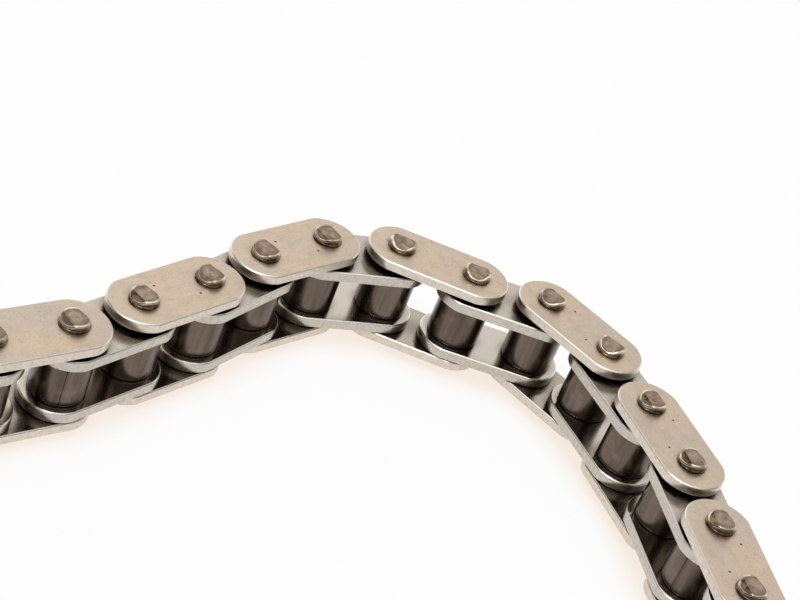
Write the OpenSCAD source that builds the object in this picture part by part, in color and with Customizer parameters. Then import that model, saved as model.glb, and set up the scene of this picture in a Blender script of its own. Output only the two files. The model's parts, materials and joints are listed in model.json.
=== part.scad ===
// Open length of single-strand roller timing chain, lying on its side in a loose arc.
// Outer links are two plates riveted over two pins. Inner links are two plates pressed on two bushes.
// A roller turns freely on every bush. Both free ends are inner links, ready for a connecting link.

/* [Chain] */
// Distance between neighbouring pins
pitch = 9.525; // [9.3:0.025:10.5]
// Bend of the chain at each pin, from the first link to the last, in degrees from straight
bends = [5, 11, -1, 6, -10, -26, -27, 5, -37, -20, -3, -11, 0, -8]; // [-90:1:90]
// Clear width between the two plates of an inner link
inner_width = 5.74; // [5.72:0.02:6.2]
// Gap between an inner plate and the outer plate beside it, when the inner link is centred
plate_gap = 0.28; // [0.1:0.01:0.4]
// Gap left under the bushes of an inner link and under a roller, which lie on the plate below them
rest_gap = 0.03; // [0.02:0.01:0.05]

/* [Plates] */
// Height of an inner plate
inner_plate_height = 8; // [7.6:0.02:8.26]
// Height of an outer plate
outer_plate_height = 8; // [7.6:0.02:8.26]
// Thickness of an inner plate
inner_plate_thickness = 1.38; // [1.2:0.02:1.6]
// Thickness of an outer plate
outer_plate_thickness = 1.25; // [1:0.05:1.5]
// How much the radius of a plate's round end exceeds half its height
end_bulge = 0.08; // [0.02:0.02:0.4]
// Edge break all round both faces of a plate
plate_edge = 0.12; // [0.05:0.01:0.25]

/* [Pins] */
// Diameter of a pin
pin_diameter = 3.28; // [3:0.02:3.5]
// How far a riveted pin end stands out of the outer plate
head_height = 0.92; // [0.7:0.02:1]
// Edge break round the top of a pin end
head_edge = 0.1; // [0.05:0.01:0.2]
// Width of the flat top between the two slopes that the riveting tool strikes
plateau_width = 1.7; // [1.4:0.05:2.4]
// Angle of the two slopes
slope_angle = 30; // [15:1:35]
// Height of the lip of metal that is pushed out on to the plate
lip_height = 0.24; // [0.1:0.02:0.3]
// How far the lip spreads past the pin
lip_spread = 0.12; // [0.05:0.01:0.2]
// Outer links, counted from the first, whose slopes face along the link. On the others they face across it
lengthwise_rivets = 3; // [0:1:7]

/* [Bushes and rollers] */
// Radial clearance of a pin in its bush
pin_clearance = 0.04; // [0.02:0.01:0.08]
// Wall of a bush
bush_wall = 0.8; // [0.6:0.02:0.9]
// How far a bush stands out of the inner plates at each end
bush_stand_out = 0.01; // [0.01:0.01:0.05]
// Lead-in chamfer on the outside of each end of a bush
bush_lead_in = 0.15; // [0.05:0.01:0.3]
// Outside diameter of a roller
roller_diameter = 6.35; // [6.1:0.01:6.6]
// Radial clearance of a roller on its bush
roller_clearance = 0.05; // [0.03:0.01:0.08]
// Gap between a roller and the inner plate at each end
roller_side_play = 0.12; // [0.05:0.01:0.2]
// Rounding of a roller's outer rims
roller_rim = 0.35; // [0.1:0.01:0.45]

/* [Hidden] */
$fn = 64;

// How far a cutter runs past the face it cuts
overshoot = 0.5;

pin_radius = pin_diameter / 2;
bore_radius = pin_radius + pin_clearance;
bush_radius = bore_radius + bush_wall;
roller_bore_radius = bush_radius + roller_clearance;
roller_radius = roller_diameter / 2;

// Heights above a link's own middle plane
inner_plate_bottom = inner_width / 2;
inner_plate_top = inner_plate_bottom + inner_plate_thickness;
outer_plate_bottom = inner_plate_top + plate_gap;
outer_plate_top = outer_plate_bottom + outer_plate_thickness;
bush_half = inner_plate_top + bush_stand_out;
roller_half = inner_plate_bottom - roller_side_play;
pin_half = outer_plate_top + head_height;

// The chain lies on its side, so inner links and rollers have sunk through their side play
inner_drop = plate_gap - bush_stand_out - rest_gap;
roller_drop = roller_side_play - rest_gap;

// Links are numbered from 0 along the chain, and the even ones are inner links
link_count = len(bends) + 1;
inner_count = (link_count + 1) / 2;
outer_count = (link_count - 1) / 2;
middle_link = (link_count - 1) / 2;
function is_inner(link) = link % 2 == 0;
function inner_link(number) = 2 * (number - 1);
function outer_link(number) = 2 * number - 1;

// Headings count from the middle link, which lies along X
function bend_sum(first, last) = first > last ? 0 : bends[first] + bend_sum(first + 1, last);
function heading(link) = bend_sum(middle_link, link - 1) - bend_sum(link, middle_link - 1);
function along(angle) = [cos(angle), sin(angle)];
function chain_point(link) = link == 0 ? [0, 0] : chain_point(link - 1) + pitch * along(heading(link - 1));

// Reach of a link's plate outline from its first pin, at an angle to the link
function plate_height(link) = is_inner(link) ? inner_plate_height : outer_plate_height;
function end_radius(height) = height / 2 + end_bulge;
function arc_limit(height) = asin(height / 2 / end_radius(height));
function corner_reach(height) = end_radius(height) * cos(arc_limit(height));
function turn(angle) = acos(cos(angle));
function outline_reach(height, angle) =
    turn(angle) <= arc_limit(height) ? pitch * cos(angle) + end_radius(height)
    : turn(angle) >= 180 - arc_limit(height) ? end_radius(height)
    : max((pitch + corner_reach(height)) * cos(angle), -corner_reach(height) * cos(angle))
        + height / 2 * sin(turn(angle));

// The origin is below the middle of the chain's box, level with the lower pin ends
function link_reach(link, angle) =
    chain_point(link) * along(angle) + outline_reach(plate_height(link), angle - heading(link));
function chain_reach(angle) = max([for (link = [0:link_count - 1]) link_reach(link, angle)]);
box_centre = [chain_reach(0) - chain_reach(180), chain_reach(90) - chain_reach(270)] / 2;

plate_colour = "#b9aea1";
pin_colour = "#74695f";
bush_colour = "#8d847a";
roller_colour = "#4b413b";

function inner_name(number, piece) = str("inner_link_", number, "_", piece);
function outer_name(number, piece) = str("outer_link_", number, "_", piece);

// Moves a shape from the link's own frame, first pin at the origin, to the link's place in the chain
module on_link(link) {
    place = chain_point(link) - box_centre;
    drop = is_inner(link) ? inner_drop : 0;
    translate([place.x, place.y, pin_half - drop])
        rotate(heading(link))
            children();
}

module at_both_pins() {
    for (x = [0, pitch])
        translate([x, 0, 0])
            children();
}

// Flat disc with both edges broken
module edged_disc(radius, thickness) {
    rotate_extrude()
        polygon([
            [0, 0],
            [radius - plate_edge, 0],
            [radius, plate_edge],
            [radius, thickness - plate_edge],
            [radius - plate_edge, thickness],
            [0, thickness]
        ]);
}

// Bar along X with all four long edges broken
module edged_bar(length, height, thickness) {
    half = height / 2;
    rotate([90, 0, 90])
        linear_extrude(length)
            polygon([
                [plate_edge - half, 0],
                [half - plate_edge, 0],
                [half, plate_edge],
                [half, thickness - plate_edge],
                [half - plate_edge, thickness],
                [plate_edge - half, thickness],
                [-half, thickness - plate_edge],
                [-half, plate_edge]
            ]);
}

// Straight-sided plate with round ends that are a little flatter than half circles
module link_plate(height, thickness, hole_radius) {
    radius = end_radius(height);
    difference() {
        intersection() {
            union() {
                at_both_pins()
                    edged_disc(radius, thickness);
                translate([0, -radius, 0])
                    cube([pitch, 2 * radius, thickness]);
            }
            translate([-radius - overshoot, 0, 0])
                edged_bar(pitch + 2 * (radius + overshoot), height, thickness);
        }
        at_both_pins()
            translate([0, 0, -overshoot])
                cylinder(r = hole_radius, h = thickness + 2 * overshoot);
    }
}

module inner_plate() {
    link_plate(inner_plate_height, inner_plate_thickness, bush_radius);
}

module outer_plate() {
    link_plate(outer_plate_height, outer_plate_thickness, pin_radius);
}

// Half section of a pin, with a lip on each plate and both ends broken
module pin_section() {
    lip_radius = pin_radius + lip_spread;
    upper = [
        [0, pin_half],
        [pin_radius - head_edge, pin_half],
        [pin_radius, pin_half - head_edge],
        [pin_radius, outer_plate_top + lip_height],
        [lip_radius, outer_plate_top + lip_height / 2],
        [lip_radius, outer_plate_top],
        [pin_radius, outer_plate_top]
    ];
    lower = [for (index = [len(upper) - 1:-1:0]) [upper[index].x, -upper[index].y]];
    polygon(concat(upper, lower));
}

// Cut that leaves one slope on the upper end of a pin, facing along Y
module rivet_slope() {
    translate([-pin_diameter, plateau_width / 2, pin_half])
        rotate([-slope_angle, 0, 0])
            cube([2 * pin_diameter, pin_diameter, head_height]);
}

module pin() {
    difference() {
        rotate_extrude()
            pin_section();
        for (end = [0, 1], side = [0, 1])
            mirror([0, 0, end])
                mirror([0, side, 0])
                    rivet_slope();
    }
}

module bush() {
    rotate_extrude()
        polygon([
            [bore_radius, -bush_half],
            [bush_radius - bush_lead_in, -bush_half],
            [bush_radius, bush_lead_in - bush_half],
            [bush_radius, bush_half - bush_lead_in],
            [bush_radius - bush_lead_in, bush_half],
            [bore_radius, bush_half]
        ]);
}

// Half section of a roller, with both outer corners rounded
module roller_section() {
    difference() {
        translate([roller_bore_radius, -roller_half])
            square([roller_radius - roller_bore_radius, 2 * roller_half]);
        for (end = [0, 1])
            mirror([0, end])
                translate([roller_radius - roller_rim, roller_half - roller_rim])
                    difference() {
                        square(roller_rim + overshoot);
                        circle(roller_rim);
                    }
    }
}

module roller() {
    rotate_extrude()
        roller_section();
}

module inner_plates(number) {
    color(plate_colour)
        on_link(inner_link(number))
            for (end = [0, 1])
                mirror([0, 0, end])
                    translate([0, 0, inner_plate_bottom])
                        inner_plate();
}

module bushes(number) {
    color(bush_colour)
        on_link(inner_link(number))
            at_both_pins()
                bush();
}

module first_roller(number) {
    color(roller_colour)
        on_link(inner_link(number))
            translate([0, 0, -roller_drop])
                roller();
}

module second_roller(number) {
    color(roller_colour)
        on_link(inner_link(number))
            translate([pitch, 0, -roller_drop])
                roller();
}

module top_plate(number) {
    color(plate_colour)
        on_link(outer_link(number))
            translate([0, 0, outer_plate_bottom])
                outer_plate();
}

module bottom_plate(number) {
    color(plate_colour)
        on_link(outer_link(number))
            mirror([0, 0, 1])
                translate([0, 0, outer_plate_bottom])
                    outer_plate();
}

module pins(number) {
    color(pin_colour)
        on_link(outer_link(number))
            at_both_pins()
                rotate(number <= lengthwise_rivets ? 90 : 0)
                    pin();
}

for (number = [1:inner_count]) {
    inner_plates(number);
    bushes(number);
    first_roller(number);
    second_roller(number);
}
for (number = [1:outer_count]) {
    top_plate(number);
    bottom_plate(number);
    pins(number);
}
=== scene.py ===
"""Visual model of a roller timing chain: finely finished steel pieces, floor, light and camera."""
import json
import math
import random

import bmesh
import bpy
from mathutils import Matrix, Vector


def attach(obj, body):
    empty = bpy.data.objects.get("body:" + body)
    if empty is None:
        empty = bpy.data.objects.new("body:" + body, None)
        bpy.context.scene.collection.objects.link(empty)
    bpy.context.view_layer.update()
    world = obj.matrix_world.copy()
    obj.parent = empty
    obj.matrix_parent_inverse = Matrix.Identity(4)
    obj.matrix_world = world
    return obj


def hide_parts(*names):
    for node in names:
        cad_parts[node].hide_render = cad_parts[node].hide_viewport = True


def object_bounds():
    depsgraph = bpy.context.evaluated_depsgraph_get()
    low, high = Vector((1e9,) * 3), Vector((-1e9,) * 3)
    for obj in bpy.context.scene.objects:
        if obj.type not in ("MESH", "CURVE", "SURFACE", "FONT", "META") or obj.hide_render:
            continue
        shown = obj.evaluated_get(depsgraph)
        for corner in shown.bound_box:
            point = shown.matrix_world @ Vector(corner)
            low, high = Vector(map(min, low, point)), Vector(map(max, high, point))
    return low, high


MM = 0.001
TINY = 0.001 * MM
SEED = 7

# Finish sizes of the plates, in metres
OUTER_EDGE_ROUND = 0.19 * MM
INNER_EDGE_ROUND = 0.19 * MM
CORNER_BLEND = 0.16 * MM
HOLE_EDGE = 0.05 * MM
PIN_SEAT_GAP = 0.012 * MM

# Inset and drop along a plate's rubbed edge, as shares of its size
EDGE_PROFILE = ((1.0, 0.0), (0.82, 0.05), (0.62, 0.17), (0.12, 0.55), (0.03, 0.66), (0.0, 0.8))

# Punched dots on the outer plates, and the outer links without them
DOT_RADIUS = 0.15 * MM
DOT_DEPTH = 0.24 * MM
DOT_FLOOR_RADIUS = DOT_RADIUS * 0.62
DOT_FLOOR_DEPTH = DOT_DEPTH * 0.75
DOT_ALONG = 2.1 * MM
DOT_ACROSS = 1.52 * MM
PLAIN_LINKS = (1, 4)

# Finish sizes of the riveted pin ends
HEAD_EDGE_ROUND = 0.14 * MM
HEAD_SCOOP = 1.35
HEAD_TURN = math.radians(6)
HEAD_SHIFT = 0.1 * MM
HEAD_SPREAD = 0.08
LIP_HEIGHT = 0.27 * MM
LIP_GROOVE = 0.025 * MM
LIP_LEAST = 0.45

# Spread and height down a pin end's lip, as shares of its full spread and height
LIP_PROFILE = ((0.3, 0.93), (0.72, 0.8), (0.95, 0.58), (1.0, 0.36), (0.9, 0.12), (0.78, 0.0))

# Finish sizes of the bushes and rollers
BUSH_EDGE = 0.12 * MM
ROLLER_RIM = 0.35 * MM
ROLLER_BORE_EDGE = 0.12 * MM
SEAM_HALF_WIDTH = 0.04 * MM
SEAM_DEPTH = 0.07 * MM
SEAM_FLARE = 2.2
SEAM_FLARE_LENGTH = 0.9 * MM

# Finenesses of the meshes
ARC_STEPS = 30
ROUND_STEPS = 4
RIM_STEPS = 7
CIRCLE_STEPS = 72
DOT_STEPS = 12
HEAD_SLOPE_STEPS = 7
HEAD_TOP_STEPS = 8
HEAD_CROSS_STEPS = 8
SHARP_ANGLE = math.radians(35)
# Name of the mesh value that marks the pin rims for a painted highlight
RIM_HIGHLIGHT = "rim_highlight"

# Camera, read from the photograph's pin ends and plate edges. It aims from the middle link's first pin
CAMERA_AIM = Vector((2.14, -2.11, 0.0)) * MM
CAMERA_DISTANCE = 227.42 * MM
CAMERA_HEADING = math.radians(88.34)
CAMERA_ELEVATION = math.radians(34.11)
CAMERA_ROLL = math.radians(22.43)
CAMERA_LENS = 85.58
CAMERA_SENSOR = 36.0
CAMERA_CLIP = (0.01, 20.0)

# Floor, and the shade on it close to the pieces
FLOOR_SIZE = 4.0
FLOOR_DROP = 0.02 * MM
FLOOR_GLOW = 0.94
SHADE_REACH = 4.5 * MM
SHADE_OPENNESS = (0.3, 0.95)
SHADE_SAMPLES = 8

# Room: where its bright parts begin and end, by the parts of a direction
ROOM_LOW_EDGE_Z = (0.18, 0.05)
ROOM_BACK_Y = (0.25, 0.55)
ROOM_CEILING_Z = (0.72, 0.88)
ROOM_FADE_X = (-0.2, 0.2)

# Lamp
LAMP_PLACE = (-0.1, -0.2, 0.65)
LAMP_SIZE = 0.16
LAMP_POWER = 0.8
LAMP_COLOUR = (1.0, 0.98, 0.95)

# Steel: scales of its patterns, in repeats per metre
PIECE_SHIFT = (0.9, 0.5, 0.7)
CLOUD_SCALE = 230.0
PATCH_SHAPE = (1.0, 1.3, 1.0)
PATCH_SCALE = 560.0
GRAIN_SCALE = 3900.0
SPECK_SCALE = 2300.0
SCRATCH_SCALES = (300.0, 6000.0, 300.0)
SHEAR_SCALES = (2600.0, 2600.0, 500.0)
MOTTLE_SCALE = 2400.0
NICK_SCALE = 1900.0
PIN_CLOUD_SCALE = 900.0
PIN_GRAIN_SCALE = 3800.0
PIN_RIM_BREAKUP_SCALE = 560.0
PIN_HAMMER_SCALE = 2200.0
TURNED_STREAK_SCALES = (900.0, 900.0, 45.0)
TURNED_GRAIN_SCALES = (5200.0, 5200.0, 120.0)
TURNED_CLOUD_SCALE = 330.0

# Steel: where faces, edges and rims begin and end, by how far the surface faces up or down
FACE_TILT = (0.86, 0.99)
EDGE_TILT = (0.08, 0.4)
EDGE_END_TILT = (0.98, 0.8)
INNER_SIDE_TILT = -0.5
PIN_TOP_TILT = (0.8, 0.9)
RIM_TILT = (0.25, 0.6)
RIM_END_TILT = (0.99, 0.9)

# Steel: oil, painted shade close to other surfaces, and the darker border of the pin ends' tops
OILED_ROUGHNESS = 0.16
PAINTED_SHADE_REACH = 1.5 * MM
PAINTED_SHADE_OPENNESS = (0.88, 0.32)
PIN_PAINTED_SHADE_REACH = 0.5 * MM
PIN_PAINTED_SHADE_OPENNESS = (0.8, 0.3)
PAINTED_SHADE_SHARE = 0.8
PAINTED_SHADE_SAMPLES = 6
PIN_BORDER = (0.65 * MM, 1.4 * MM)

# Steel: strength and depth of its fine relief
PLATE_RELIEF = (0.2, 0.02 * MM)
PIN_RELIEF = (0.3, 0.03 * MM)
TURNED_RELIEF = (0.12, 0.01 * MM)

randoms = random.Random(SEED)

# Frame, and the sizes of the pieces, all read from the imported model
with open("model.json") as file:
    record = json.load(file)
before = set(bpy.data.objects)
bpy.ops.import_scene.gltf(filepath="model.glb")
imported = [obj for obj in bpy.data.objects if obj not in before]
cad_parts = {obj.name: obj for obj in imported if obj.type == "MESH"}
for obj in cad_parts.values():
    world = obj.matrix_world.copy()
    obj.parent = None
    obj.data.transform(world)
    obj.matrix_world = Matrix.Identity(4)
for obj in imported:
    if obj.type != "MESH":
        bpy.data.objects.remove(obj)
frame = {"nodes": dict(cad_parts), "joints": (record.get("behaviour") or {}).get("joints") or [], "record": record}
cad_low, cad_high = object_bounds()
joints = {joint["name"]: joint for joint in frame["joints"]}
mounts = {mount["name"]: mount for mount in frame["record"]["mounts"]}
inner_count = sum(name.endswith("_bushes") for name in frame["nodes"])
outer_count = sum(name.endswith("_top_plate") for name in frame["nodes"])
link_count = inner_count + outer_count


def joint_place(name):
    return Vector(joints[name]["pos_m"])


chain_points = [
    joint_place("inner_link_1_first_roller_spin"),
    *(joint_place(f"pin_{number}_hinge") for number in range(1, link_count)),
    joint_place(f"inner_link_{inner_count}_second_roller_spin"),
]
PITCH = (chain_points[1] - chain_points[0]).length


def inner_link(number):
    return 2 * (number - 1)


def outer_link(number):
    return 2 * number - 1


def link_matrix(link):
    """Places a link's own frame, first pin at the origin and X along the link, in the chain."""
    along = chain_points[link + 1] - chain_points[link]
    return Matrix.Translation(chain_points[link]) @ Matrix.Rotation(math.atan2(along.y, along.x), 4, "Z")


def local_points(node, link):
    """A node's vertices in its link's own frame."""
    back = link_matrix(link).inverted()
    return [back @ vertex.co for vertex in frame["nodes"][node].data.vertices]


def reach(points, axis):
    return max(point[axis] for point in points)


def middle_height(points):
    return (reach(points, 2) + min(point.z for point in points)) / 2


def top_reach(points, axis):
    """Reach of the highest points about the first pin."""
    top = reach(points, 2) - TINY
    return max(point[axis] for point in points if point.z > top and point.x < PITCH / 2)


top_plate = local_points("outer_link_1_top_plate", outer_link(1))
inner_plates = local_points("inner_link_1_plates", inner_link(1))
pins = local_points("outer_link_1_pins", outer_link(1))
bushes = local_points("inner_link_1_bushes", inner_link(1))
roller = local_points("inner_link_1_first_roller", inner_link(1))

OUTER_HEIGHT = 2 * reach(top_plate, 1)
OUTER_END_RADIUS = reach(top_plate, 0) - PITCH
OUTER_TOP = reach(top_plate, 2)
OUTER_BOTTOM = min(point.z for point in top_plate)
INNER_HEIGHT = 2 * reach(inner_plates, 1)
INNER_END_RADIUS = reach(inner_plates, 0) - PITCH
INNER_RISE = middle_height(inner_plates)
INNER_TOP = reach(inner_plates, 2) - INNER_RISE
INNER_BOTTOM = min(point.z for point in inner_plates if point.z > INNER_RISE) - INNER_RISE
LIP_RADIUS = reach(pins, 1)
PIN_HALF = reach(pins, 2)
PIN_RADIUS = min(point.xy.length for point in pins if abs(point.z) < OUTER_TOP + TINY)
PLATEAU_HALF = min(top_reach(pins, 0), top_reach(pins, 1))
slope_foot = min(point.z for point in pins if point.z > OUTER_TOP + LIP_HEIGHT)
SLOPE_DROP = PIN_HALF - slope_foot
BUSH_RADIUS = reach(bushes, 1)
BUSH_HALF = reach(bushes, 2) - INNER_RISE
BORE_RADIUS = mounts["first_end_bore"]["dims"]["r_mm"] * MM
ROLLER_RADIUS = reach(roller, 1)
ROLLER_RISE = middle_height(roller)
ROLLER_HALF = reach(roller, 2) - ROLLER_RISE
ROLLER_BORE = min(point.xy.length for point in roller)


# Meshes


def smooth_step(value, low, high):
    share = min(max((value - low) / (high - low), 0.0), 1.0)
    return share * share * (3 - 2 * share)


def circle(centre_x, centre_y, radius, steps):
    turns = [2 * math.pi * step / steps for step in range(steps)]
    return [(centre_x + radius * math.cos(turn), centre_y + radius * math.sin(turn)) for turn in turns]


def add_loop(bm, outline, height):
    return [bm.verts.new((x, y, height)) for x, y in outline]


def join_loops(bm, first, second):
    """Quads between two loops of the same count, facing outwards when the first lies above."""
    count = len(first)
    for index in range(count):
        after = (index + 1) % count
        bm.faces.new((first[index], second[index], second[after], first[after]))


def join_all(bm, loops):
    for first, second in zip(loops, loops[1:]):
        join_loops(bm, first, second)


def fan(bm, loop, centre):
    """Triangles from a loop to one point."""
    tip = bm.verts.new(centre)
    count = len(loop)
    for index in range(count):
        bm.faces.new((loop[index], loop[(index + 1) % count], tip))


def fill_flat(bm, loops):
    """Flat face inside the first loop and outside the others."""
    edges = []
    for loop in loops:
        count = len(loop)
        edges += [bm.edges.get((loop[index], loop[(index + 1) % count])) for index in range(count)]
    bmesh.ops.triangle_fill(bm, use_beauty=True, use_dissolve=False, edges=edges)


def rounding(radius, steps):
    """Inset and drop of the points along a rounded edge, from the flat face to the wall."""
    turns = [math.pi / 2 * step / steps for step in range(steps + 1)]
    return [(radius * (1 - math.sin(turn)), radius * (1 - math.cos(turn))) for turn in turns]


def rubbed_edge(size):
    """Inset and drop of the points along an edge that tumbling has rubbed to a slope with soft ends."""
    return [(size * inset, size * drop) for inset, drop in EDGE_PROFILE]


def plate_outline(height, end_radius, inset):
    """Round ends about both pins, clipped by the straight sides, moved inwards by the inset."""
    radius = end_radius - inset
    half = height / 2 - inset
    limit = math.asin(half / radius)
    arc_limit = limit - CORNER_BLEND / radius
    side_end = PITCH + radius * math.cos(limit) - CORNER_BLEND
    turns = [arc_limit * (2 * step / ARC_STEPS - 1) for step in range(ARC_STEPS + 1)]
    arc = [(PITCH + radius * math.cos(turn), radius * math.sin(turn)) for turn in turns]
    right = [(side_end, -half), *arc, (side_end, half)]
    left = [(PITCH - x, -y) for x, y in right]
    return right + left


def add_dot(bm, x, y, height):
    """Round dimple in a top face. Gives its rim."""
    rim = add_loop(bm, circle(x, y, DOT_RADIUS, DOT_STEPS), height)
    floor = add_loop(bm, circle(x, y, DOT_FLOOR_RADIUS, DOT_STEPS), height - DOT_FLOOR_DEPTH)
    join_loops(bm, floor, rim)
    fan(bm, floor, (x, y, height - DOT_DEPTH))
    return rim


def add_plate(bm, height, end_radius, hole_radius, low, high, edge, dots=False):
    """Plate with rounded edges, two holes and, where asked for, two punched dots on its top."""
    edges = rubbed_edge(edge)
    upper = [add_loop(bm, plate_outline(height, end_radius, inset), high - drop) for inset, drop in edges]
    lower = [
        add_loop(bm, plate_outline(height, end_radius, inset), low + drop)
        for inset, drop in reversed(edges)
    ]
    join_all(bm, upper + lower)
    top_loops = [upper[0]]
    bottom_loops = [lower[-1]]
    for x in (0, PITCH):
        sizes = [(HOLE_EDGE, high), (0, high - HOLE_EDGE), (0, low + HOLE_EDGE), (HOLE_EDGE, low)]
        hole = [add_loop(bm, circle(x, 0, hole_radius + out, CIRCLE_STEPS), z) for out, z in sizes]
        join_all(bm, hole)
        top_loops.append(hole[0])
        bottom_loops.append(hole[-1])
    if dots:
        for x, y in ((-DOT_ALONG, DOT_ACROSS), (DOT_ALONG, -DOT_ACROSS)):
            top_loops.append(add_dot(bm, PITCH / 2 + x, y, high))
    fill_flat(bm, top_loops)
    fill_flat(bm, bottom_loops)


def flip(bm):
    """Turns a mesh upside down about the link's long axis."""
    bmesh.ops.rotate(bm, verts=bm.verts, matrix=Matrix.Rotation(math.pi, 3, "X"))


def steps_between(low, high, count):
    """Evenly spaced values from the low one up to the high one, which is left out."""
    return [low + (high - low) * step / count for step in range(count)]


def rim_highlight_layer(bm):
    """The mesh's value for the painted highlight on the pin rims, from 0 to 1 on every vertex."""
    return bm.verts.layers.float.get(RIM_HIGHLIGHT) or bm.verts.layers.float.new(RIM_HIGHLIGHT)


class PinEnd:
    """One riveted pin end: a flat top between two struck slopes, above a lip on the plate."""

    def __init__(self, across):
        """Draws this end's own small departures. Across says whether the slopes face across the link."""
        self.plateau = PLATEAU_HALF * randoms.uniform(1 - HEAD_SPREAD, 1 + HEAD_SPREAD)
        self.shift = randoms.uniform(-HEAD_SHIFT, HEAD_SHIFT)
        self.drop = SLOPE_DROP * randoms.uniform(1 - HEAD_SPREAD, 1)
        self.lip = (LIP_RADIUS - PIN_RADIUS) * randoms.uniform(1 - HEAD_SPREAD, 1)
        self.facing = randoms.uniform(-HEAD_TURN, HEAD_TURN) + (math.pi / 2 if across else 0)
        top_radius = PIN_RADIUS - HEAD_EDGE_ROUND
        low_crease = math.asin((self.shift - self.plateau) / top_radius)
        high_crease = math.asin((self.shift + self.plateau) / top_radius)
        self.rows = [
            *steps_between(-math.pi / 2, low_crease, HEAD_SLOPE_STEPS),
            *steps_between(low_crease, high_crease, HEAD_TOP_STEPS),
            *steps_between(high_crease, math.pi / 2, HEAD_SLOPE_STEPS),
            math.pi / 2,
        ]
        self.columns = [*reversed(self.rows), *self.rows[1:-1]]
        self.sides = [1] * len(self.rows) + [-1] * (len(self.rows) - 2)

    def height(self, along):
        """Height of the top at a distance along the way that the slopes face."""
        crease = self.plateau + math.copysign(1, along) * self.shift
        share = min(max(abs(along) - crease, 0) / (PIN_RADIUS - crease), 1)
        return PIN_HALF - self.drop * (1 - (1 - share) ** HEAD_SCOOP)

    def place(self, x, along, aside, height):
        cosine = math.cos(self.facing)
        sine = math.sin(self.facing)
        return (x + along * cosine - aside * sine, along * sine + aside * cosine, height)

    def loop(self, bm, x, radius_at, height_at, rim_highlight_share=0.0):
        """Loop round the pin, its radius and height worked out for each column, with its share of the painted rim
        highlight.
        """
        rim_highlight = rim_highlight_layer(bm)
        loop = []
        for turn, side in zip(self.columns, self.sides):
            radius = radius_at(turn)
            along = radius * math.sin(turn)
            aside = radius * math.cos(turn) * side
            vertex = bm.verts.new(self.place(x, along, aside, height_at(along)))
            vertex[rim_highlight] = rim_highlight_share
            loop.append(vertex)
        return loop

    def fill_top(self, bm, x, rim):
        """Rows of faces across the top, from one pole of the rim to the other."""
        radius = PIN_RADIUS - HEAD_EDGE_ROUND
        count = len(self.rows)
        lines = []
        for index in range(1, count - 1):
            turn = self.rows[index]
            along = radius * math.sin(turn)
            near = rim[count - 1 + index]
            far = rim[count - 1 - index]
            line = [near]
            for step in range(1, HEAD_CROSS_STEPS):
                aside = radius * math.cos(turn) * (2 * step / HEAD_CROSS_STEPS - 1)
                line.append(bm.verts.new(self.place(x, along, aside, self.height(along))))
            lines.append(line + [far])
        for first, second in zip(lines, lines[1:]):
            for step in range(HEAD_CROSS_STEPS):
                bm.faces.new((first[step], second[step], second[step + 1], first[step + 1]))
        for pole, line in ((rim[count - 1], lines[0]), (rim[0], lines[-1])):
            for step in range(HEAD_CROSS_STEPS):
                bm.faces.new((pole, line[step], line[step + 1]))

    def build(self, bm, x):
        """Adds the end to a mesh and gives its lowest loop, in the plate's hole."""
        loops = []
        for inset, drop in rounding(HEAD_EDGE_ROUND, ROUND_STEPS):
            radius = PIN_RADIUS - inset
            rim = self.loop(bm, x, lambda turn: radius, lambda along: self.height(along) - drop, rim_highlight_share=1.0)
            loops.append(rim)
        self.fill_top(bm, x, loops[0])

        def lip_radius(turn):
            return PIN_RADIUS + self.lip * share * (LIP_LEAST + (1 - LIP_LEAST) * math.sin(turn) ** 2)

        lip_top = OUTER_TOP + LIP_HEIGHT
        loops.append(self.loop(bm, x, lambda turn: PIN_RADIUS - LIP_GROOVE, lambda along: lip_top))
        for share, height in LIP_PROFILE:
            level = OUTER_TOP + LIP_HEIGHT * height
            loops.append(self.loop(bm, x, lip_radius, lambda along: level))
        hole = OUTER_TOP - HOLE_EDGE
        loops.append(self.loop(bm, x, lambda turn: PIN_RADIUS, lambda along: hole))
        join_all(bm, loops)
        return loops[-1]


def aligned(loop, first):
    """The loop turned so that it starts beside the first point."""
    start = min(range(len(loop)), key=lambda index: (loop[index].co.xy - first.co.xy).length)
    return loop[start:] + loop[:start]


def add_pin(bm, x, across):
    """Pin with both ends riveted: an upper end, one turned upside down, and the shank between them."""
    upper_foot = PinEnd(across).build(bm, x)
    lower = bmesh.new()
    lower_foot = PinEnd(across).build(lower, x)
    flip(lower)
    lower.verts.index_update()
    copies = [bm.verts.new(vertex.co) for vertex in lower.verts]
    for vertex, copy in zip(lower.verts, copies):
        copy[rim_highlight_layer(bm)] = vertex[rim_highlight_layer(lower)]
    for face in lower.faces:
        bm.faces.new([copies[vertex.index] for vertex in face.verts])
    foot = [copies[vertex.index] for vertex in reversed(lower_foot)]
    lower.free()
    join_loops(bm, upper_foot, aligned(foot, upper_foot[0]))


def add_ring(bm, x, profile):
    """Closed ring from a profile of radii and heights, from its inner top round to its inner bottom."""
    loops = [add_loop(bm, circle(x, 0, radius, CIRCLE_STEPS), height) for radius, height in profile]
    join_all(bm, loops + loops[:1])


def mirrored_profile(upper):
    return upper + [(radius, -height) for radius, height in reversed(upper)]


def add_bush(bm, x):
    upper = [
        (BORE_RADIUS, BUSH_HALF - BUSH_EDGE),
        (BORE_RADIUS + BUSH_EDGE, BUSH_HALF),
        (BUSH_RADIUS - BUSH_EDGE, BUSH_HALF),
        (BUSH_RADIUS, BUSH_HALF - BUSH_EDGE),
    ]
    add_ring(bm, x, mirrored_profile(upper))


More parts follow.
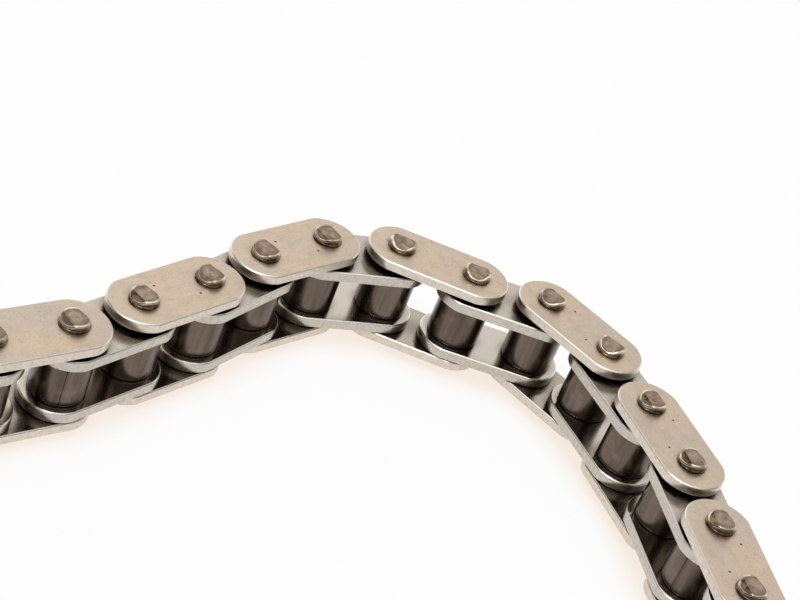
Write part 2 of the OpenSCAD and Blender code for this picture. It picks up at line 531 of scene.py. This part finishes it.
def roller_loop(bm, x, radius, height, out, up, seam_turn):
    """One loop of a roller's outside. The seam sinks it along the direction that its surface faces."""
    flare = smooth_step(abs(height), ROLLER_HALF - SEAM_FLARE_LENGTH, ROLLER_HALF)
    half_width = SEAM_HALF_WIDTH * (1 + SEAM_FLARE * flare) / ROLLER_RADIUS
    turns = [2 * math.pi * step / CIRCLE_STEPS for step in range(1, CIRCLE_STEPS)]
    columns = [(-half_width, 0), (0, SEAM_DEPTH), (half_width, 0), *((turn, 0) for turn in turns)]
    loop = []
    for turn, depth in columns:
        across = radius - depth * out
        angle = turn + seam_turn
        place = (x + across * math.cos(angle), across * math.sin(angle), height - depth * up)
        loop.append(bm.verts.new(place))
    return loop


def add_roller(bm, x):
    """Roller curled from strip: rounded rims, and one seam that opens a little towards both rims."""
    seam_turn = randoms.uniform(0, 2 * math.pi)
    upper = [
        (ROLLER_BORE, ROLLER_HALF - ROLLER_BORE_EDGE, 0, 0),
        (ROLLER_BORE + ROLLER_BORE_EDGE, ROLLER_HALF, 0, 0),
    ]
    for step in range(RIM_STEPS + 1):
        turn = math.pi / 2 * step / RIM_STEPS
        out = math.sin(turn)
        up = math.cos(turn)
        upper.append((ROLLER_RADIUS - ROLLER_RIM * (1 - out), ROLLER_HALF - ROLLER_RIM * (1 - up), out, up))
    upper.append((ROLLER_RADIUS, ROLLER_HALF - SEAM_FLARE_LENGTH, 1, 0))
    lower = [(radius, -height, out, -up) for radius, height, out, up in reversed(upper)]
    loops = [roller_loop(bm, x, *point, seam_turn) for point in upper + lower]
    join_all(bm, loops + loops[:1])


def finish_piece(bm, name, link, rise, body, slot, material, *nodes):
    """Makes the mesh an object in its link's place, which rides on a body and stands for its nodes."""
    bmesh.ops.recalc_face_normals(bm, faces=bm.faces)
    mesh = bpy.data.meshes.new(name)
    bm.to_mesh(mesh)
    bm.free()
    mesh.shade_smooth()
    mesh.set_sharp_from_angle(angle=SHARP_ANGLE)
    mesh.materials.append(material)
    piece = bpy.data.objects.new(name, mesh)
    bpy.context.scene.collection.objects.link(piece)
    piece.matrix_world = link_matrix(link) @ Matrix.Translation((0, 0, rise))
    weighting = piece.modifiers.new("flat_faces_lead", "WEIGHTED_NORMAL")
    weighting.keep_sharp = True
    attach(piece, body)
    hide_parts(*nodes)
    return piece


# Materials


def rgb(red, green, blue):
    return (red, green, blue, 1.0)


def scaled(colour, share):
    return rgb(*(share * part for part in colour[:3]))


WHITE = rgb(1.0, 1.0, 1.0)
FLOOR_PAINT = rgb(0.9, 0.9, 0.9)
FLOOR_SHADE = rgb(0.95, 0.86, 0.78)
ROOM_DIM = rgb(0.13, 0.124, 0.118)
ROOM_LEFT = rgb(1.03, 1.02, 1.0)
ROOM_RIGHT = rgb(0.88, 0.87, 0.86)
ROOM_CEILING = rgb(1.1, 1.09, 1.07)
# Colour of the painted shade close to other surfaces
PAINTED_SHADE = rgb(0.075, 0.055, 0.042)
SPECK = rgb(0.2, 0.15, 0.11)
NICK = rgb(0.2, 0.16, 0.13)
PIN_TOP_LIGHT = rgb(0.44, 0.335, 0.25)
PIN_TOP_DARK = rgb(0.26, 0.195, 0.145)
PIN_TOP_BORDER = rgb(0.17, 0.122, 0.087)
PIN_TOP_GRAIN = rgb(0.1, 0.073, 0.053)
# Light patches on the pin sides: a painted highlight
PIN_SIDE_HIGHLIGHT = rgb(0.4, 0.28, 0.17)
PIN_SIDE_DARK = rgb(0.085, 0.058, 0.038)
# Colour of the painted highlight on the pin rims
PIN_RIM_HIGHLIGHT = rgb(0.9, 0.8, 0.67)


def add_node(tree, kind, inputs, **settings):
    """Adds a shader node with its settings, and fills or links its inputs."""
    made = tree.nodes.new(kind)
    for key, value in settings.items():
        setattr(made, key, value)
    for key, value in inputs.items():
        if isinstance(value, bpy.types.NodeSocket):
            tree.links.new(value, made.inputs[key])
        else:
            made.inputs[key].default_value = value
    return made


def add_math(tree, operation, first, second=0.0):
    return add_node(tree, "ShaderNodeMath", {0: first, 1: second}, operation=operation).outputs[0]


def add_range(tree, value, low, high, to_low=0.0, to_high=1.0):
    """Smooth step between two values."""
    inputs = {"Value": value, "From Min": low, "From Max": high, "To Min": to_low, "To Max": to_high}
    return add_node(tree, "ShaderNodeMapRange", inputs, interpolation_type="SMOOTHSTEP").outputs["Result"]


def add_mix(tree, share, first, second):
    """Mix of two colours."""
    return add_node(tree, "ShaderNodeMix", {0: share, 6: first, 7: second}, data_type="RGBA").outputs[2]


def add_blend(tree, share, first, second):
    """Mix of two plain values."""
    return add_node(tree, "ShaderNodeMix", {0: share, 2: first, 3: second}, data_type="FLOAT").outputs[0]


def add_noise(tree, place, scale, detail=3.0, roughness=0.55):
    inputs = {"Vector": place, "Scale": scale, "Detail": detail, "Roughness": roughness}
    return add_node(tree, "ShaderNodeTexNoise", inputs).outputs["Fac"]


def stretched(tree, place, scale):
    """Coordinates scaled along each axis, for streaks."""
    return add_node(tree, "ShaderNodeMapping", {"Vector": place, "Scale": scale}).outputs["Vector"]


def object_coordinates(tree):
    return add_node(tree, "ShaderNodeTexCoord", {}).outputs


def split(tree, vector):
    """The X, Y and Z of a vector."""
    return add_node(tree, "ShaderNodeSeparateXYZ", {"Vector": vector}).outputs


def own_random(tree):
    """A value from 0 to 1 that differs from piece to piece."""
    return add_node(tree, "ShaderNodeObjectInfo", {}).outputs["Random"]


def surface_place(tree):
    """A piece's own coordinates in metres, shifted by a different amount on each piece."""
    place = object_coordinates(tree)["Object"]
    inputs = {0: PIECE_SHIFT, "Scale": own_random(tree)}
    shift = add_node(tree, "ShaderNodeVectorMath", inputs, operation="SCALE").outputs[0]
    return add_node(tree, "ShaderNodeVectorMath", {0: place, 1: shift}, operation="ADD").outputs[0]


def facing_up(tree):
    """How far the surface faces up or down: 1 on the flat faces, 0 on the walls."""
    return add_math(tree, "ABSOLUTE", split(tree, object_coordinates(tree)["Normal"])["Z"])


def from_pin_axis(tree):
    """Distance of a pin's surface from the pin's own axis, in metres."""
    place = split(tree, object_coordinates(tree)["Object"])
    from_middle = add_math(tree, "ABSOLUTE", add_math(tree, "SUBTRACT", place["X"], PITCH / 2))
    along = add_math(tree, "SUBTRACT", from_middle, PITCH / 2)
    along_square = add_math(tree, "MULTIPLY", along, along)
    across_square = add_math(tree, "MULTIPLY", place["Y"], place["Y"])
    return add_math(tree, "SQRT", add_math(tree, "ADD", along_square, across_square))


def on_inner_side(tree):
    """1 on the flat faces that look towards the middle plane of their link, 0 elsewhere."""
    coordinates = object_coordinates(tree)
    side = add_math(tree, "SIGN", split(tree, coordinates["Object"])["Z"])
    outward = add_math(tree, "MULTIPLY", side, split(tree, coordinates["Normal"])["Z"])
    return add_math(tree, "LESS_THAN", outward, INNER_SIDE_TILT)


def add_painted_shade(tree, colour, reach, limits):
    """Paints shade into a colour close to other surfaces, between two limits of openness."""
    inputs = {"Distance": reach}
    openness = add_node(tree, "ShaderNodeAmbientOcclusion", inputs, samples=PAINTED_SHADE_SAMPLES).outputs["AO"]
    return add_mix(tree, add_range(tree, openness, *limits, 0.0, PAINTED_SHADE_SHARE), colour, PAINTED_SHADE)


def add_relief(tree, shader, strength, depth, height):
    """Gives a surface fine relief from a pattern of heights."""
    inputs = {"Strength": strength, "Distance": depth, "Height": height}
    bump = add_node(tree, "ShaderNodeBump", inputs)
    tree.links.new(bump.outputs["Normal"], shader.inputs["Normal"])


def new_steel(name):
    material = bpy.data.materials.new(name)
    material.use_nodes = True
    tree = material.node_tree
    shader = tree.nodes["Principled BSDF"]
    shader.inputs["Metallic"].default_value = 1.0
    return material, tree, shader


def plate_steel(name, face, stain, bare, inside, wall, edge, face_roughness, wall_roughness):
    """Tumbled plate: stained and grained faces, satin sheared walls, a painted highlight on the rounded edges and
    painted shade close to other surfaces.
    """
    material, tree, shader = new_steel(name)
    place = surface_place(tree)
    up = facing_up(tree)
    on_face = add_range(tree, up, *FACE_TILT)
    past_wall = add_range(tree, up, *EDGE_TILT)
    edge_highlight_mask = add_math(tree, "MULTIPLY", past_wall, add_range(tree, up, *EDGE_END_TILT))
    hidden = on_inner_side(tree)

    # Colour of the faces
    cloud = add_noise(tree, place, CLOUD_SCALE, 4.0, 0.6)
    patch = add_noise(tree, stretched(tree, place, PATCH_SHAPE), PATCH_SCALE, 4.0, 0.62)
    grain = add_noise(tree, place, GRAIN_SCALE, 3.0, 0.65)
    scratch = add_noise(tree, stretched(tree, place, SCRATCH_SCALES), 1.0, 3.0)
    speck = add_noise(tree, place, SPECK_SCALE, 2.0, 0.5)
    ground = add_mix(tree, own_random(tree), face, bare)
    tone = add_mix(tree, add_range(tree, cloud, 0.42, 0.66), ground, stain)
    tone = add_mix(tree, add_range(tree, patch, 0.46, 0.68, 0.0, 0.7), tone, scaled(bare, 0.94))
    tone = add_mix(tree, add_range(tree, grain, 0.4, 0.72, 0.0, 0.32), tone, scaled(bare, 0.62))
    tone = add_mix(tree, add_range(tree, scratch, 0.6, 0.8, 0.0, 0.3), tone, edge)
    tone = add_mix(tree, add_range(tree, speck, 0.67, 0.76, 0.0, 0.4), tone, SPECK)
    tone = add_mix(tree, hidden, tone, inside)

    # Colour of the walls
    streak = add_noise(tree, stretched(tree, place, SHEAR_SCALES), 1.0, 3.0, 0.55)
    mottle = add_noise(tree, place, MOTTLE_SCALE, 4.0, 0.65)
    nick = add_noise(tree, place, NICK_SCALE, 2.0)
    wall_tone = add_mix(tree, add_range(tree, mottle, 0.4, 0.68), wall, scaled(wall, 0.88))
    wall_tone = add_mix(tree, add_range(tree, streak, 0.4, 0.7, 0.0, 0.25), wall_tone, scaled(wall, 0.7))
    wall_tone = add_mix(tree, add_range(tree, nick, 0.66, 0.74, 0.0, 0.45), wall_tone, NICK)

    colour = add_mix(tree, on_face, wall_tone, tone)
    # Painted highlight: the rounded edges mixed towards the near-white edge colour
    colour = add_mix(tree, add_math(tree, "MULTIPLY", edge_highlight_mask, 0.9), colour, edge)
    # Painted shade: the colour darkens close to other surfaces
    colour = add_painted_shade(tree, colour, PAINTED_SHADE_REACH, PAINTED_SHADE_OPENNESS)
    tree.links.new(colour, shader.inputs["Base Color"])

    # Gloss
    face_gloss = add_range(tree, patch, 0.3, 0.75, face_roughness - 0.05, face_roughness + 0.08)
    face_gloss = add_blend(tree, hidden, face_gloss, OILED_ROUGHNESS)
    wall_gloss = add_range(tree, mottle, 0.3, 0.7, wall_roughness - 0.05, wall_roughness + 0.08)
    tree.links.new(add_blend(tree, on_face, wall_gloss, face_gloss), shader.inputs["Roughness"])

    face_relief = add_math(tree, "ADD", grain, add_math(tree, "MULTIPLY", scratch, 0.4))
    add_relief(tree, shader, *PLATE_RELIEF, add_blend(tree, on_face, mottle, face_relief))
    return material


def pin_steel():
    """Riveted pins: bronzed ends with dark borders and sides, painted highlight patches on the sides, painted
    shade and broken, painted rim highlights.
    """
    material, tree, shader = new_steel("pin_steel_riveted")
    place = surface_place(tree)
    on_top = add_range(tree, facing_up(tree), *PIN_TOP_TILT)
    on_rim = add_node(tree, "ShaderNodeAttribute", {}, attribute_name=RIM_HIGHLIGHT).outputs["Fac"]
    cloud = add_noise(tree, place, PIN_CLOUD_SCALE, 4.0, 0.62)
    fine = add_noise(tree, place, PIN_GRAIN_SCALE, 3.0, 0.6)
    border = add_range(tree, from_pin_axis(tree), *PIN_BORDER, 0.0, 0.75)
    top = add_mix(tree, add_range(tree, cloud, 0.36, 0.66), PIN_TOP_LIGHT, PIN_TOP_DARK)
    top = add_mix(tree, border, top, PIN_TOP_BORDER)
    top = add_mix(tree, add_range(tree, fine, 0.48, 0.75, 0.0, 0.55), top, PIN_TOP_GRAIN)
    # Sides: dark steel with light patches, a painted highlight placed by a noise
    side = add_mix(tree, add_range(tree, cloud, 0.38, 0.62), PIN_SIDE_HIGHLIGHT, PIN_SIDE_DARK)
    # Painted shade on the pins close to other surfaces
    colour = add_painted_shade(tree, add_mix(tree, on_top, side, top), PIN_PAINTED_SHADE_REACH, PIN_PAINTED_SHADE_OPENNESS)
    # Painted highlight on the rims, broken up in places by a noise
    rim_highlight_breakup = add_range(tree, add_noise(tree, place, PIN_RIM_BREAKUP_SCALE, 2.0), 0.36, 0.62, 0.3, 1.0)
    rim_highlight = add_math(tree, "MULTIPLY", add_range(tree, on_rim, 0.3, 0.9), rim_highlight_breakup)
    tree.links.new(add_mix(tree, rim_highlight, colour, PIN_RIM_HIGHLIGHT), shader.inputs["Base Color"])
    gloss = add_blend(tree, on_top, 0.2, add_range(tree, cloud, 0.3, 0.7, 0.32, 0.48))
    tree.links.new(gloss, shader.inputs["Roughness"])
    add_relief(tree, shader, *PIN_RELIEF, add_noise(tree, place, PIN_HAMMER_SCALE, 3.0, 0.6))
    return material


def turned_steel(name, tone, shade, roughness):
    """Ground round pieces: dark, glossy, with fine upright streaks and lighter rounded rims."""
    material, tree, shader = new_steel(name)
    place = surface_place(tree)
    up = facing_up(tree)
    streak = add_noise(tree, stretched(tree, place, TURNED_STREAK_SCALES), 1.0, 4.0, 0.6)
    fine = add_noise(tree, stretched(tree, place, TURNED_GRAIN_SCALES), 1.0, 3.0)
    cloud = add_noise(tree, place, TURNED_CLOUD_SCALE, 3.0)
    colour = add_mix(tree, add_range(tree, streak, 0.35, 0.7), tone, shade)
    colour = add_mix(tree, add_range(tree, cloud, 0.5, 0.8), colour, scaled(tone, 1.35))
    on_rim = add_math(tree, "MULTIPLY", add_range(tree, up, *RIM_TILT), add_range(tree, up, *RIM_END_TILT))
    colour = add_mix(tree, add_math(tree, "MULTIPLY", on_rim, 0.5), colour, scaled(tone, 2.4))
    tree.links.new(colour, shader.inputs["Base Color"])
    gloss = add_range(tree, streak, 0.3, 0.7, roughness - 0.05, roughness + 0.07)
    tree.links.new(gloss, shader.inputs["Roughness"])
    add_relief(tree, shader, *TURNED_RELIEF, fine)
    return material


outer_steel = plate_steel(
    "plate_steel_outer",
    face=rgb(0.675, 0.552, 0.43),
    stain=rgb(0.70, 0.557, 0.405),
    bare=rgb(0.62, 0.522, 0.432),
    inside=rgb(0.50, 0.44, 0.375),
    wall=rgb(0.77, 0.68, 0.575),
    # Edge: colour of the painted edge highlight, also used for the scratches
    edge=rgb(0.96, 0.92, 0.86),
    face_roughness=0.4,
    wall_roughness=0.34,
)
inner_steel = plate_steel(
    "plate_steel_inner",
    face=rgb(0.60, 0.54, 0.475),
    stain=rgb(0.61, 0.53, 0.435),
    bare=rgb(0.64, 0.585, 0.52),
    inside=rgb(0.66, 0.60, 0.53),
    # Edge: colour of the painted edge highlight, also used for the scratches
    wall=rgb(0.63, 0.565, 0.495),
    edge=rgb(0.97, 0.94, 0.89),
    face_roughness=0.22,
    wall_roughness=0.3,
)
riveted_steel = pin_steel()
bush_steel = turned_steel("bush_steel_ground", rgb(0.34, 0.30, 0.27), rgb(0.22, 0.19, 0.17), 0.3)
roller_steel = turned_steel("roller_steel_ground", rgb(0.17, 0.131, 0.105), rgb(0.1, 0.076, 0.061), 0.27)


# Pieces


def make_inner_link(number):
    link = inner_link(number)
    name = f"inner_link_{number}"
    plates = bmesh.new()
    for low, high in ((-INNER_TOP, -INNER_BOTTOM), (INNER_BOTTOM, INNER_TOP)):
        add_plate(plates, INNER_HEIGHT, INNER_END_RADIUS, BUSH_RADIUS, low, high, INNER_EDGE_ROUND)
    finish_piece(
        plates, f"{name}_plates_look", link, INNER_RISE, name, "plate_steel", inner_steel, f"{name}_plates"
    )
    sleeves = bmesh.new()
    for x in (0, PITCH):
        add_bush(sleeves, x)
    finish_piece(
        sleeves, f"{name}_bushes_look", link, INNER_RISE, name, "bush_steel", bush_steel, f"{name}_bushes"
    )
    for place, x in (("first", 0), ("second", PITCH)):
        node = f"{name}_{place}_roller"
        ring = bmesh.new()
        add_roller(ring, x)
        finish_piece(ring, f"{node}_look", link, ROLLER_RISE, node, "roller_steel", roller_steel, node)


def slopes_face_across(number):
    """Whether the struck slopes on a link's pin ends face across the link, read from its top outline."""
    points = local_points(f"outer_link_{number}_pins", outer_link(number))
    return top_reach(points, 1) < top_reach(points, 0)


def make_outer_link(number):
    link = outer_link(number)
    name = f"outer_link_{number}"
    for side in ("top", "bottom"):
        plate = bmesh.new()
        hole_radius = PIN_RADIUS + PIN_SEAT_GAP
        sizes = (OUTER_HEIGHT, OUTER_END_RADIUS, hole_radius, OUTER_BOTTOM, OUTER_TOP, OUTER_EDGE_ROUND)
        add_plate(plate, *sizes, dots=number not in PLAIN_LINKS)
        if side == "bottom":
            flip(plate)
        node = f"{name}_{side}_plate"
        finish_piece(plate, f"{node}_look", link, 0, name, "plate_steel", outer_steel, node)
    shafts = bmesh.new()
    for x in (0, PITCH):
        add_pin(shafts, x, slopes_face_across(number))
    finish_piece(shafts, f"{name}_pins_look", link, 0, name, "pin_steel", riveted_steel, f"{name}_pins")


for number in range(1, inner_count + 1):
    make_inner_link(number)
for number in range(1, outer_count + 1):
    make_outer_link(number)


# Floor


def floor_material():
    """White to the camera and in reflections, but for a narrow warm shade close to the pieces."""
    material = bpy.data.materials.new("floor_white")
    material.use_nodes = True
    tree = material.node_tree
    tree.nodes.clear()
    rays = add_node(tree, "ShaderNodeLightPath", {}).outputs
    seen = add_math(tree, "MAXIMUM", rays["Is Camera Ray"], rays["Is Glossy Ray"])
    inputs = {"Distance": SHADE_REACH}
    closeness = add_node(tree, "ShaderNodeAmbientOcclusion", inputs, samples=SHADE_SAMPLES).outputs["AO"]
    tone = add_mix(tree, add_range(tree, closeness, *SHADE_OPENNESS), FLOOR_SHADE, WHITE)
    lit = add_node(tree, "ShaderNodeBsdfDiffuse", {"Color": FLOOR_PAINT}).outputs[0]
    glow = add_node(tree, "ShaderNodeEmission", {"Color": tone, "Strength": 1.0}).outputs[0]
    share = add_math(tree, "MULTIPLY", seen, FLOOR_GLOW)
    mixed = add_node(tree, "ShaderNodeMixShader", {0: share, 1: lit, 2: glow}).outputs[0]
    add_node(tree, "ShaderNodeOutputMaterial", {"Surface": mixed})
    return material


half = FLOOR_SIZE / 2
floor_corners = [(-half, -half, 0), (half, -half, 0), (half, half, 0), (-half, half, 0)]
floor_mesh = bpy.data.meshes.new("floor")
floor_mesh.from_pydata(floor_corners, [], [(0, 1, 2, 3)])
floor_mesh.materials.append(floor_material())
floor = bpy.data.objects.new("floor", floor_mesh)
bpy.context.scene.collection.objects.link(floor)
floor.location.z = cad_low.z - FLOOR_DROP


# Light


def make_world():
    """White to the camera. Reflections see a dim room with a white ceiling, back and lower edge."""
    world = bpy.data.worlds.new("studio")
    bpy.context.scene.world = world
    world.use_nodes = True
    tree = world.node_tree
    tree.nodes.clear()
    direction = split(tree, add_node(tree, "ShaderNodeTexCoord", {}).outputs["Generated"])
    low = add_range(tree, direction["Z"], *ROOM_LOW_EDGE_Z)
    back = add_range(tree, direction["Y"], *ROOM_BACK_Y)
    ceiling = add_range(tree, direction["Z"], *ROOM_CEILING_Z)
    white = add_mix(tree, add_range(tree, direction["X"], *ROOM_FADE_X), ROOM_LEFT, ROOM_RIGHT)
    room = add_mix(tree, add_math(tree, "MAXIMUM", low, back), ROOM_DIM, white)
    room = add_mix(tree, ceiling, room, ROOM_CEILING)
    rays = add_node(tree, "ShaderNodeLightPath", {}).outputs
    colour = add_mix(tree, rays["Is Camera Ray"], room, WHITE)
    glow = add_node(tree, "ShaderNodeBackground", {"Color": colour, "Strength": 1.0}).outputs[0]
    add_node(tree, "ShaderNodeOutputWorld", {"Surface": glow})


def make_lamp():
    """Square lamp above, aimed at the middle of the part."""
    lamp = bpy.data.lights.new("key_lamp", "AREA")
    lamp.shape = "SQUARE"
    lamp.size = LAMP_SIZE
    lamp.energy = LAMP_POWER
    lamp.color = LAMP_COLOUR
    lamp_object = bpy.data.objects.new("key_lamp", lamp)
    bpy.context.scene.collection.objects.link(lamp_object)
    lamp_object.location = LAMP_PLACE
    lamp_object.rotation_euler = (-Vector(LAMP_PLACE)).to_track_quat("-Z", "Y").to_euler()


make_world()
make_lamp()


# Camera


def make_camera():
    camera = bpy.data.cameras.new("photo_camera")
    camera.lens = CAMERA_LENS
    camera.sensor_fit = "HORIZONTAL"
    camera.sensor_width = CAMERA_SENSOR
    camera.clip_start, camera.clip_end = CAMERA_CLIP
    forward = Vector((
        math.cos(CAMERA_ELEVATION) * math.cos(CAMERA_HEADING),
        math.cos(CAMERA_ELEVATION) * math.sin(CAMERA_HEADING),
        -math.sin(CAMERA_ELEVATION),
    ))
    camera_object = bpy.data.objects.new("photo_camera", camera)
    bpy.context.scene.collection.objects.link(camera_object)
    aim = chain_points[link_count // 2] + CAMERA_AIM
    level = forward.to_track_quat("-Z", "Y").to_matrix().to_4x4()
    rolled = level @ Matrix.Rotation(CAMERA_ROLL, 4, "Z")
    camera_object.matrix_world = Matrix.Translation(aim - forward * CAMERA_DISTANCE) @ rolled
    bpy.context.scene.camera = camera_object


make_camera()
bpy.context.scene.view_settings.view_transform = "Standard"
